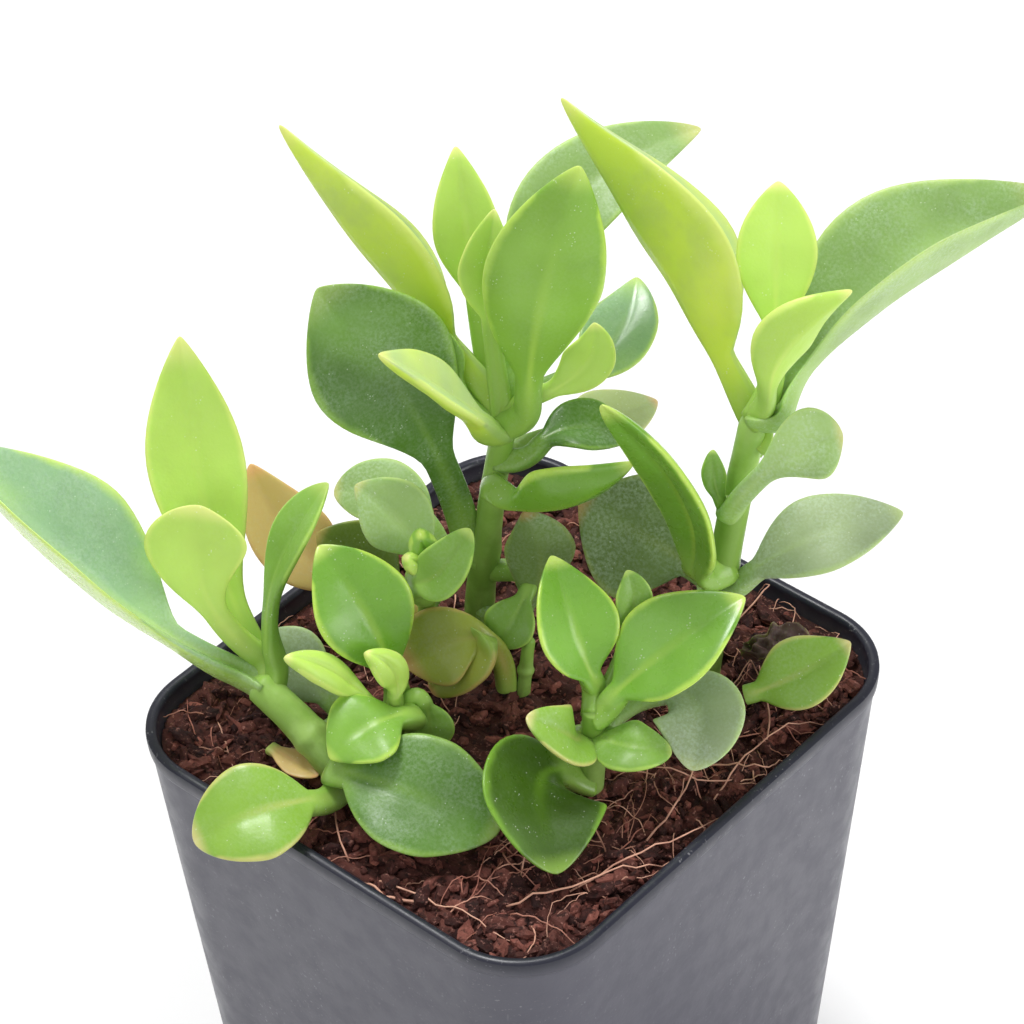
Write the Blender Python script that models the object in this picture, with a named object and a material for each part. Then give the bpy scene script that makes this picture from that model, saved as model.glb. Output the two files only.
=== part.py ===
"""A potted jade plant: leafy succulent shoots in coir soil, in a square nursery pot.

The frame's origin is the centre of the pot's base, with +Z up and +Y along the
pot's longer side. Lengths in this file are millimetres, and meshes are metres.
"""

import math

import bpy
import numpy as np

MM = 0.001

# Pot
RIM_X = 70.0  # outside, across the short side
RIM_Y = 75.0  # outside, across the long side
POT_HEIGHT = 75.0
SIDE_TAPER = 0.067  # inset of each wall, for each mm below the rim
CORNER_RADIUS = 12.0
WALL = 1.2
LIP = 0.3  # how far the rim band stands out
LIP_HEIGHT = 2.5
FLOOR = 1.5
HOLE_RADIUS = 4.0
HOLE_OFFSET = 16.0

# Soil
SOIL_TOP = 72.6
CLEARANCE = 0.3  # gap kept between neighbouring pieces

# Leaf shapes: (stalk share of the length, where the blade is widest, bluntness)
SPOON = (0.30, 0.66, 0.75)
EGG = (0.14, 0.50, 0.85)
LANCE = (0.12, 0.45, 1.0)
LONG = (0.22, 0.52, 0.95)
BROAD = (0.30, 0.60, 0.80)
ROUND = (0.12, 0.55, 0.62)
PLUMP = (0.05, 0.45, 0.80)
PETAL = (0.05, 0.52, 0.62)
PADDLE = (0.36, 0.70, 0.65)
SICKLE = (0.2, 0.37, 1.25)
TALL = (0.12, 0.62, 0.9)
LADLE = (0.3, 0.72, 0.62)
CLASP = (0.0, 0.4, 0.7)
BOAT = (0.03, 0.5, 1.15)

# Finishes: (colour, roughness)
FINISHES = {
    "young": ((0.42, 0.62, 0.10), 0.38),
    "green": ((0.16, 0.38, 0.06), 0.34),
    "dusty": ((0.20, 0.32, 0.15), 0.50),
    "peach": ((0.60, 0.45, 0.16), 0.45),
    "withered": ((0.07, 0.04, 0.035), 0.70),
    "stem": ((0.36, 0.55, 0.16), 0.42),
    "soil": ((0.14, 0.045, 0.03), 0.95),
    "pot": ((0.045, 0.045, 0.06), 0.42),
}

# Stems: name, points along the axis, radius at the foot, radius at the top
STEMS = [
    ("left_stem", [(-5.5, -24, 75.4), (-13, -23.8, 77.8), (-21.5, -24, 81.5)], 2.3, 1.9),
    ("front_stem", [(-4, -16, 73.6), (-4.5, -16, 78), (-5, -16.5, 81)], 1.3, 1.2),
    ("centre_stem", [(-11.5, 6, 73.8), (-10, 7, 90), (-7.5, 9, 111)], 1.9, 1.3),
    ("bud_stem", [(-13, -2, 73.7), (-11.5, -3, 83), (-9, -5, 92)], 1.1, 0.9),
    ("rear_stem", [(-16, -1, 73.8), (-17, -1, 76.5), (-18.5, -1, 78.8)], 1.2, 1.0),
    ("right_stem", [(15.5, 18, 73.6), (18, 19.5, 94), (21.5, 21, 119)], 2.0, 1.5),
    ("low_stem", [(17, -5.5, 73.6), (17.3, -5, 81), (17.5, -5, 86.5)], 1.5, 1.3),
]

# Leaves: name, stalk end, middle, tip, width, upper face looks towards, fold,
# thickness, shape, finish
LEAVES = [
    ("left_leaf_long", (-24, -25.5, 82.5), (-38, -33.5, 94.5), (-58, -38, 110.5), 23,
     (0.42, 0.27, 0.87), 50, 1.8, LONG, "green"),
    ("left_leaf_spoon", (-22.5, -22, 84), (-27.3, -25.2, 94), (-29, -23.1, 105.6), 12.3,
     (0.5, -0.6, 0.3), 10, 1.6, LADLE, "young"),
    ("left_leaf_tall", (-25, -20.5, 84), (-34, -17.5, 97), (-44, -10, 116), 12,
     (0.5, -0.5, 0.5), 14, 1.7, TALL, "young"),
    ("left_leaf_narrow", (-20, -21.5, 84), (-22, -18, 94), (-21, -9, 104), 7.5,
     (-0.3, -0.5, 0.8), 18, 1.7, SPOON, "green"),
    ("left_leaf_scrap", (-17, -26.5, 74.5), (-13, -26.5, 74.6), (-9, -26.5, 74.6), 4,
     (0, 0, 1), 10, 0.9, ROUND, "peach"),
    ("front_leaf_back", (-6.5, -14.5, 83), (-9.5, -15.5, 93), (-17, -15.5, 100.5), 12.5,
     (0.6, -0.3, 0.5), 16, 1.8, EGG, "young"),
    ("front_leaf_finger", (-7.5, -20, 84.3), (-9.5, -23, 89.5), (-12.5, -27, 93), 4,
     (0.3, -0.2, 0.9), 8, 2.8, PLUMP, "young"),
    ("front_leaf_inner", (-4, -17, 85.5), (-4.3, -17.5, 89), (-6.3, -19.5, 92), 4,
     (0.4, -0.3, 0.8), 8, 3.0, PLUMP, "young"),
    ("front_leaf_right", (-1.2, -18, 83), (-2.7, -23, 84.2), (-4.5, -28.5, 82), 10.5,
     (0.1, -0.3, 0.9), 12, 1.9, EGG, "young"),
    ("front_leaf_rear", (-2.4, -14, 82), (-1, -14.6, 79.5), (-0.5, -16, 76.5), 6,
     (0.6, -0.3, 0.6), 8, 1.4, ROUND, "young"),
    ("front_leaf_broad", (-3.5, -27.5, 79.3), (5.5, -25, 79.8), (16, -21, 77), 15,
     (0.2, -0.4, 0.9), 8, 1.8, PETAL, "green"),
    ("front_leaf_rim", (-4.5, -32, 77.2), (-7, -38.5, 79.2), (-11.5, -45.5, 76.8), 12.5,
     (0.2, -0.4, 0.9), 8, 1.8, PETAL, "green"),
    ("front_leaf_shaded", (-15, -17, 76), (-20, -18, 80), (-25.5, -18, 82.5), 9,
     (-0.2, -0.4, 0.9), 8, 1.5, ROUND, "dusty"),
    ("centre_leaf_large", (-12.5, 6, 90), (-15, 0.5, 112), (-23.5, -6, 131), 18,
     (0.5, -0.5, 0.5), 14, 1.8, BROAD, "green"),
    ("centre_leaf_long", (-10.3, 8.4, 113.2), (-23, 5.4, 127.2), (-39, 5, 141.5), 17.5,
     (0.36, 0.8, 0.49), 50, 1.7, SICKLE, "young"),
    ("centre_leaf_back", (-14, 11.5, 121), (-17, 13.5, 131), (-21, 16.5, 140), 8,
     (0.5, -0.6, 0.3), 16, 1.6, LANCE, "young"),
    ("centre_leaf_mid", (-10, 9.5, 122), (-10.5, 10, 130), (-11, 12, 138), 7.5,
     (0.3, -0.4, 0.5), 26, 1.6, LANCE, "young"),
    ("centre_leaf_front", (-4.5, 9.5, 113), (-1.5, 9, 131), (2, 12.5, 150), 14.2,
     (-0.6, 0.7, 0.1), 12, 1.9, EGG, "young"),
    ("centre_leaf_rear", (-10, 14, 118), (-11.5, 25, 130), (-5.5, 44, 134), 12.5,
     (0.3, -0.2, 0.9), 20, 1.6, EGG, "green"),
    ("centre_leaf_left", (-7.5, 5.5, 110), (-7.5, -2, 120.5), (-9, -11, 131.5), 9,
     (0.4, 0.4, 0.7), 24, 2.0, LANCE, "young"),
    ("centre_leaf_tiny", (-12, 5.5, 114.5), (-13, 5, 119), (-14.5, 5, 123), 3.4,
     (0.5, -0.5, 0.3), 10, 1.2, LANCE, "green"),
    ("centre_leaf_bluish", (-7, 17, 110), (-5, 26, 112), (-8.5, 35, 115), 9,
     (0.3, -0.5, 0.8), 12, 1.6, EGG, "dusty"),
    ("centre_leaf_dark", (-4.5, 11, 105), (-2, 15.5, 106.5), (3, 21, 104), 8,
     (0.1, -0.2, 0.9), 18, 1.6, EGG, "green"),
    ("centre_leaf_low", (-5.5, 5.5, 101), (2, 7, 103), (10, 12, 110), 10,
     (-0.6, 0.7, 0.4), 28, 2.0, LANCE, "young"),
    ("centre_leaf_pale", (-6.5, 14, 103.5), (-4, 22, 102.5), (-2, 31, 101), 8,
     (0.2, -0.3, 0.9), 8, 1.3, EGG, "peach"),
    ("centre_leaf_dusty", (-4.8, 6.5, 80), (-2.5, 8.5, 89.5), (-4, 7.5, 97.5), 8.5,
     (-0.5, 0.5, 0.3), 10, 1.6, EGG, "dusty"),
    ("bud_leaf_frosted", (-9.3, -4, 93), (-13.8, -4.3, 98.5), (-19, -6.5, 103), 9,
     (0.5, -0.5, 0.6), 12, 1.8, EGG, "young"),
    ("bud_leaf_curled", (-6.9, -7.9, 95), (-4, -7, 98.5), (-2, -4.5, 104), 5.6,
     (0.3, -0.6, 0.6), 14, 1.9, CLASP, "young"),
    ("bud_leaf_tip", (-8.3, -5.2, 95.5), (-8.5, -6, 98.5), (-8.3, -6.5, 101), 3.2,
     (0.4, -0.4, 0.8), 0, 3.0, PLUMP, "young"),
    ("rear_leaf_orange", (-22, -1.5, 80), (-31, -5, 85), (-40, -4, 93.5), 10,
     (0.4, -0.5, 0.7), 12, 1.6, EGG, "peach"),
    ("rear_leaf_grey", (-18.5, 6.5, 86.5), (-25, 6, 89.5), (-32.5, 3, 88), 9,
     (0.3, -0.3, 0.9), 8, 1.3, ROUND, "dusty"),
    ("rear_leaf_olive", (-19.3, 0.8, 80.5), (-23, -1.5, 84.5), (-28.5, -4.5, 88.5), 10,
     (0.4, -0.5, 0.7), 10, 1.5, EGG, "green"),
    ("twisted_leaf", (-2.2, 1, 73.8), (-3.8, -2, 83), (-9.5, -9.5, 80.5), 10,
     (0.5, -0.4, 0.6), 12, 2.2, PADDLE, "peach"),
    ("right_leaf_long", (20, 22.5, 115), (6.2, 22.9, 131.5), (-11.5, 25, 146.5), 26,
     (0.52, 0.74, 0.46), 50, 1.8, SICKLE, "young"),
    ("right_leaf_pale", (21, 25, 124), (17.5, 29.5, 133), (13.8, 34.5, 140.5), 9.5,
     (0.5, -0.6, 0.3), 14, 1.6, EGG, "young"),
    ("right_leaf_top", (23, 21, 121.5), (24.7, 22.7, 129.5), (29, 29, 135), 8,
     (-0.6, 0.6, 0.2), 22, 1.7, BOAT, "young"),
    ("right_leaf_large", (24, 23, 118), (25.5, 36.5, 125.5), (37, 60, 135), 25,
     (-0.35, -0.39, 0.85), 52, 1.8, LONG, "green"),
    ("right_leaf_round", (21.2, 16.5, 105.4), (27.3, 18.6, 115.3), (32, 24, 118), 8.5,
     (0.5, -0.5, 0.6), 10, 1.9, SPOON, "green"),
    ("right_leaf_tiny", (19.5, 16.8, 105.5), (19, 16, 110), (18.5, 16.5, 113.5), 2.6,
     (0.5, -0.5, 0.4), 10, 1.2, LANCE, "green"),
    ("right_leaf_down", (17.5, 15, 95.2), (16.5, 12.5, 109), (11, 5, 124), 8,
     (-0.1, -0.8, 0.4), 18, 1.9, CLASP, "green"),
    ("right_leaf_dark", (14, 20.5, 88.5), (7, 18.5, 91.5), (-1.5, 15, 95.5), 17,
     (0.5, -0.6, 0.4), 10, 1.6, EGG, "dusty"),
    ("right_leaf_low", (20.5, 19.5, 91), (26, 26, 96.5), (32, 37, 97), 11,
     (0.1, -0.3, 1.0), 10, 1.7, EGG, "dusty"),
    ("low_leaf_back", (16, -3.5, 88.5), (13.5, -3.5, 94.5), (6.5, 0.5, 101), 11.5,
     (0.7, -0.2, 0.5), 24, 1.9, EGG, "young"),
    ("low_leaf_right", (19, -3.5, 87), (22.5, 1.5, 93), (27.5, 11.5, 98.5), 13,
     (0.1, -0.4, 0.85), 18, 2.0, EGG, "young"),
    ("low_leaf_front", (17, -8, 82.5), (18, -11, 86.5), (15, -14.5, 90.5), 6.8,
     (0.4, -0.1, 0.8), 14, 1.7, CLASP, "green"),
    ("low_leaf_pair", (20, -5.5, 82.5), (24, -5.5, 84), (27.5, -2.5, 83.5), 6,
     (0.1, -0.3, 0.9), 10, 1.7, CLASP, "green"),
    ("low_leaf_round", (20, 3, 84), (26, 4, 85), (30.5, -2.5, 82), 11,
     (0.2, -0.3, 0.9), 10, 1.6, ROUND, "dusty"),
    ("low_leaf_bud", (17, 1.2, 91), (16.3, 4, 96), (14.5, 5, 100), 4.5,
     (0.5, -0.4, 0.4), 20, 1.5, EGG, "green"),
    ("low_leaf_dark", (15.5, -8.5, 76.8), (17, -15.2, 80), (25.8, -21.9, 76.7), 17,
     (0.6, 0, 0.8), 18, 1.9, ROUND, "green"),
    ("fallen_leaf", (24, 16.5, 76.5), (28, 20.5, 79), (32, 27, 82.5), 9,
     (0.4, -0.6, 0.6), 14, 1.8, EGG, "peach"),
    ("withered_leaf", (19.5, 22, 77), (23, 24, 78.5), (25, 28, 78), 6,
     (0.1, -0.2, 0.9), 30, 1.2, EGG, "withered"),
]

STATIONS = 9  # rings along each leaf
STALK = 0.85  # half the width of a leaf's stalk


def add_object(name, points, faces, finish):
    """One closed mesh object, from points in mm, with its own material."""
    mesh = bpy.data.meshes.new(name)
    mesh.from_pydata((np.asarray(points) * MM).tolist(), [], faces)
    mesh.validate()
    colour, roughness = FINISHES[finish]
    material = bpy.data.materials.new(name + "_" + finish)
    material.use_nodes = True
    shader = material.node_tree.nodes["Principled BSDF"]
    shader.inputs["Base Color"].default_value = (*colour, 1.0)
    shader.inputs["Roughness"].default_value = roughness
    mesh.materials.append(material)
    piece = bpy.data.objects.new(name, mesh)
    bpy.context.scene.collection.objects.link(piece)
    return piece


def tube_faces(rings, around):
    """Quads between successive rings of points."""
    faces = []
    for ring in range(rings - 1):
        low = ring * around
        high = low + around
        for i in range(around):
            j = (i + 1) % around
            faces.append((low + i, low + j, high + j, high + i))
    return faces


def unit(vector):
    return vector / np.linalg.norm(vector)


def through(start, middle, end, share):
    """The point of a smooth curve through three points, and its direction there."""
    place = (
        start * (1 - share) * (1 - 2 * share)
        + middle * 4 * share * (1 - share)
        + end * share * (2 * share - 1)
    )
    heading = start * (4 * share - 3) + middle * (4 - 8 * share) + end * (4 * share - 1)
    return place, unit(heading)


def blade(share, shape):
    """The blade's width at this share of the leaf, as a fraction of its greatest."""
    stalk, widest, bluntness = shape
    along = max(0.0, (share - stalk) / (1 - stalk))
    power = math.log(0.5) / math.log(widest)
    return math.sin(math.pi * along**power) ** bluntness


def leaf_mesh(stalk_end, middle, tip, width, looks, fold, thickness, shape):
    """A folded, fleshy leaf as rings of eight points, closed by a point at each end."""
    start, middle, end = (np.array(p, float) for p in (stalk_end, middle, tip))
    looks = np.array(looks, float)
    fold = math.radians(fold)
    across = [-1.0, -0.5, 0.0, 0.5, 1.0, 0.5, 0.0, -0.5]
    points = [start]
    for ring in range(STATIONS):
        share = 0.5 - 0.5 * math.cos(math.pi * (ring + 0.7) / (STATIONS + 0.4))
        place, heading = through(start, middle, end, share)
        side = unit(np.cross(heading, looks))
        normal = np.cross(side, heading)
        closing = math.sqrt(1 - share**4)
        half_width = math.hypot(STALK * closing, blade(share, shape) * width / 2)
        half_thick = 0.5 * thickness * closing
        for i, place_across in enumerate(across):
            rise = math.hypot(place_across, 0.2) - 0.2
            above = 0.8 if i < 5 else -1.2
            swell = math.sqrt(1 - place_across**4) * half_thick * above
            points.append(
                place
                + side * half_width * place_across * math.cos(fold)
                + normal * (half_width * rise * math.sin(fold) + swell)
            )
    points.append(end)
    count = len(across)
    faces = [tuple(1 + i for i in face) for face in tube_faces(STATIONS, count)]
    last = 1 + (STATIONS - 1) * count
    for i in range(count):
        j = (i + 1) % count
        faces.append((0, 1 + j, 1 + i))
        faces.append((last + i, last + j, len(points) - 1))
    return points, faces


def stem_mesh(path, foot_radius, top_radius):
    """A round, tapering stem with a domed top, along a curve through three points."""
    start, middle, end = (np.array(p, float) for p in path)
    rings = 8
    around = 10
    points = []
    for ring in range(rings):
        share = ring / (rings - 1)
        place, heading = through(start, middle, end, share)
        radius = foot_radius + (top_radius - foot_radius) * share
        side = unit(np.cross(heading, (0.67, -0.74, 0.0)))
        other = np.cross(heading, side)
        for i in range(around):
            angle = 2 * math.pi * i / around
            offset = side * math.cos(angle) + other * math.sin(angle)
            points.append(place + offset * radius)
    points.append(end + heading * top_radius * 0.4)
    faces = tube_faces(rings, around)
    last = (rings - 1) * around
    for i in range(around):
        faces.append((last + i, last + (i + 1) % around, len(points) - 1))
    faces.append(tuple(range(around))[::-1])
    return points, faces


def rounded_outline(half_x, half_y, radius, steps=7):
    """Points round a rectangle with rounded corners, anticlockwise from +X."""
    outline = []
    corners = [(1, 1, 0), (-1, 1, 90), (-1, -1, 180), (1, -1, 270)]
    for sign_x, sign_y, first in corners:
        for step in range(steps):
            angle = math.radians(first + 90 * step / (steps - 1))
            x = sign_x * (half_x - radius) + radius * math.cos(angle)
            y = sign_y * (half_y - radius) + radius * math.sin(angle)
            outline.append((x, y))
    return outline


def pot_ring(height, inset):
    """The pot's outline at this height, this far inside the plain outer wall."""
    shrink = (POT_HEIGHT - height) * SIDE_TAPER + LIP + inset
    outline = rounded_outline(
        RIM_X / 2 - shrink, RIM_Y / 2 - shrink, CORNER_RADIUS - LIP - inset
    )
    return [(x, y, height) for x, y in outline]


def add_pot():
    """A tapered, thin-walled square pot with a slight rim band and four drain holes."""
    rings = [
        pot_ring(0, 1.0),
        pot_ring(1.0, 0),
        pot_ring(POT_HEIGHT - LIP_HEIGHT, 0),
        pot_ring(POT_HEIGHT - LIP_HEIGHT + 0.3, -LIP),
        pot_ring(POT_HEIGHT - 0.4, -LIP),
        pot_ring(POT_HEIGHT, 0.1),
        pot_ring(POT_HEIGHT, WALL - 0.3),
        pot_ring(POT_HEIGHT - 0.4, WALL),
        pot_ring(FLOOR + 2.0, WALL),
        pot_ring(FLOOR, WALL + 2.0),
    ]
    around = len(rings[0])
    points = [point for ring in rings for point in ring]
    faces = tube_faces(len(rings), around)
    faces.append(tuple(range(around))[::-1])
    faces.append(tuple(range(len(points) - around, len(points))))
    pot = add_object("pot", points, faces, "pot")
    for sign_x in (-1, 1):
        for sign_y in (-1, 1):
            add_drain_hole(pot, sign_x * HOLE_OFFSET, sign_y * HOLE_OFFSET)
    return pot


def add_drain_hole(pot, x, y):
    """Cuts one round hole through the pot's floor, with a hidden cutter."""
    around = 20
    circle = []
    for i in range(around):
        angle = 2 * math.pi * i / around
        circle.append((x + HOLE_RADIUS * math.cos(angle), y + HOLE_RADIUS * math.sin(angle)))
    points = [(px, py, -1.0) for px, py in circle] + [(px, py, FLOOR + 1.0) for px, py in circle]
    faces = tube_faces(2, around)
    faces.append(tuple(range(around))[::-1])
    faces.append(tuple(range(around, 2 * around)))
    cutter = add_object("drain_cutter", points, faces, "pot")
    cutter.hide_render = True
    cutter.display_type = "WIRE"
    cut = pot.modifiers.new("drain_hole", "BOOLEAN")
    cut.operation = "DIFFERENCE"
    cut.solver = "EXACT"
    cut.object = cutter


def soil_height(x, y):
    """The soil's uneven top surface."""
    lumps = 0.5 * math.sin(0.31 * x + 1.0) * math.cos(0.27 * y)
    lumps += 0.3 * math.sin(0.9 * x - 0.7 * y)
    return SOIL_TOP + lumps


def add_soil():
    """The block of soil that fills the pot to just below its rim."""
    inside = WALL + CLEARANCE
    rings = [
        pot_ring(FLOOR + CLEARANCE, inside + 2.0),
        pot_ring(FLOOR + 2.0 + CLEARANCE, inside),
        pot_ring(SOIL_TOP - 1.0, inside),
    ]
    edge = pot_ring(SOIL_TOP - 1.0, inside + 0.2)
    for scale in (1.0, 0.92, 0.8, 0.66, 0.5, 0.34, 0.18):
        ring = []
        for x, y, _ in edge:
            ring.append((x * scale, y * scale, soil_height(x * scale, y * scale)))
        rings.append(ring)
    around = len(edge)
    points = [point for ring in rings for point in ring]
    points.append((0.0, 0.0, soil_height(0.0, 0.0)))
    faces = tube_faces(len(rings), around)
    last = (len(rings) - 1) * around
    for i in range(around):
        faces.append((last + i, last + (i + 1) % around, len(points) - 1))
    faces.append(tuple(range(around))[::-1])
    return add_object("soil", points, faces, "soil")


for item in list(bpy.data.objects):
    bpy.data.objects.remove(item, do_unlink=True)

add_pot()
add_soil()
for stem_name, path, foot_radius, top_radius in STEMS:
    stem_points, stem_faces = stem_mesh(path, foot_radius, top_radius)
    add_object(stem_name, stem_points, stem_faces, "stem")
for leaf_name, *numbers, leaf_finish in LEAVES:
    leaf_points, leaf_faces = leaf_mesh(*numbers)
    add_object(leaf_name, leaf_points, leaf_faces, leaf_finish)
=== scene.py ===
"""Looks of the potted jade plant: fine leaves, stems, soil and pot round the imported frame.

Lengths are millimetres until a mesh is made, and meshes are metres. The frame's origin is
the centre of the pot's base, with +Z up. Leaf and stem values repeat part.py's.
"""

import math
import random

import bmesh
import bpy
import numpy as np
from mathutils import Matrix, Vector, noise


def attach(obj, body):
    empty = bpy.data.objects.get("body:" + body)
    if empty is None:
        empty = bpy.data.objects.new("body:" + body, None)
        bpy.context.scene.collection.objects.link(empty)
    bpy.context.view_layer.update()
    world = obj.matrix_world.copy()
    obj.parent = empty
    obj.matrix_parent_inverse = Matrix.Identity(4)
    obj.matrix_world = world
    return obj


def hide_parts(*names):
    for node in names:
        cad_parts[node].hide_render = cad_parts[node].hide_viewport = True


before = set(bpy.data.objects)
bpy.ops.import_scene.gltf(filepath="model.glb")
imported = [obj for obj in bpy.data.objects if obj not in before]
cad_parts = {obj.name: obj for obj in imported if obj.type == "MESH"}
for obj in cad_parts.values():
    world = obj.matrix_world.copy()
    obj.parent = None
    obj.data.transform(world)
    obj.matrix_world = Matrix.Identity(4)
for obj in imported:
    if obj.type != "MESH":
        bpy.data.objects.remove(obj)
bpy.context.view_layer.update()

MM = 0.001
random.seed(7)

# Pot, as in part.py
RIM_X, RIM_Y, POT_HEIGHT = 70.0, 75.0, 75.0
SIDE_TAPER = 0.067
CORNER_RADIUS = 12.0
WALL = 1.2
LIP, LIP_HEIGHT = 0.3, 2.5
FLOOR = 1.5
HOLE_RADIUS, HOLE_OFFSET = 4.0, 16.0
SOIL_TOP = 72.6

# Leaf shapes: (stalk share of the length, where the blade is widest, bluntness)
SPOON = (0.30, 0.66, 0.75)
EGG = (0.14, 0.50, 0.85)
LANCE = (0.12, 0.45, 1.0)
LONG = (0.22, 0.52, 0.95)
BROAD = (0.30, 0.60, 0.80)
ROUND = (0.12, 0.55, 0.62)
PLUMP = (0.05, 0.45, 0.80)
PETAL = (0.05, 0.52, 0.62)
PADDLE = (0.36, 0.70, 0.65)
SICKLE = (0.2, 0.37, 1.25)
TALL = (0.12, 0.62, 0.9)
LADLE = (0.3, 0.72, 0.62)
CLASP = (0.0, 0.4, 0.7)
BOAT = (0.03, 0.5, 1.15)

# Stems: name, points along the axis, radius at the foot, radius at the top
STEMS = [
    ("left_stem", [(-5.5, -24, 75.4), (-13, -23.8, 77.8), (-21.5, -24, 81.5)], 2.3, 1.9),
    ("front_stem", [(-4, -16, 73.6), (-4.5, -16, 78), (-5, -16.5, 81)], 1.3, 1.2),
    ("centre_stem", [(-11.5, 6, 73.8), (-10, 7, 90), (-7.5, 9, 111)], 1.9, 1.3),
    ("bud_stem", [(-13, -2, 73.7), (-11.5, -3, 83), (-9, -5, 92)], 1.1, 0.9),
    ("rear_stem", [(-16, -1, 73.8), (-17, -1, 76.5), (-18.5, -1, 78.8)], 1.2, 1.0),
    ("right_stem", [(15.5, 18, 73.6), (18, 19.5, 94), (21.5, 21, 119)], 2.0, 1.5),
    ("low_stem", [(17, -5.5, 73.6), (17.3, -5, 81), (17.5, -5, 86.5)], 1.5, 1.3),
]

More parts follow.
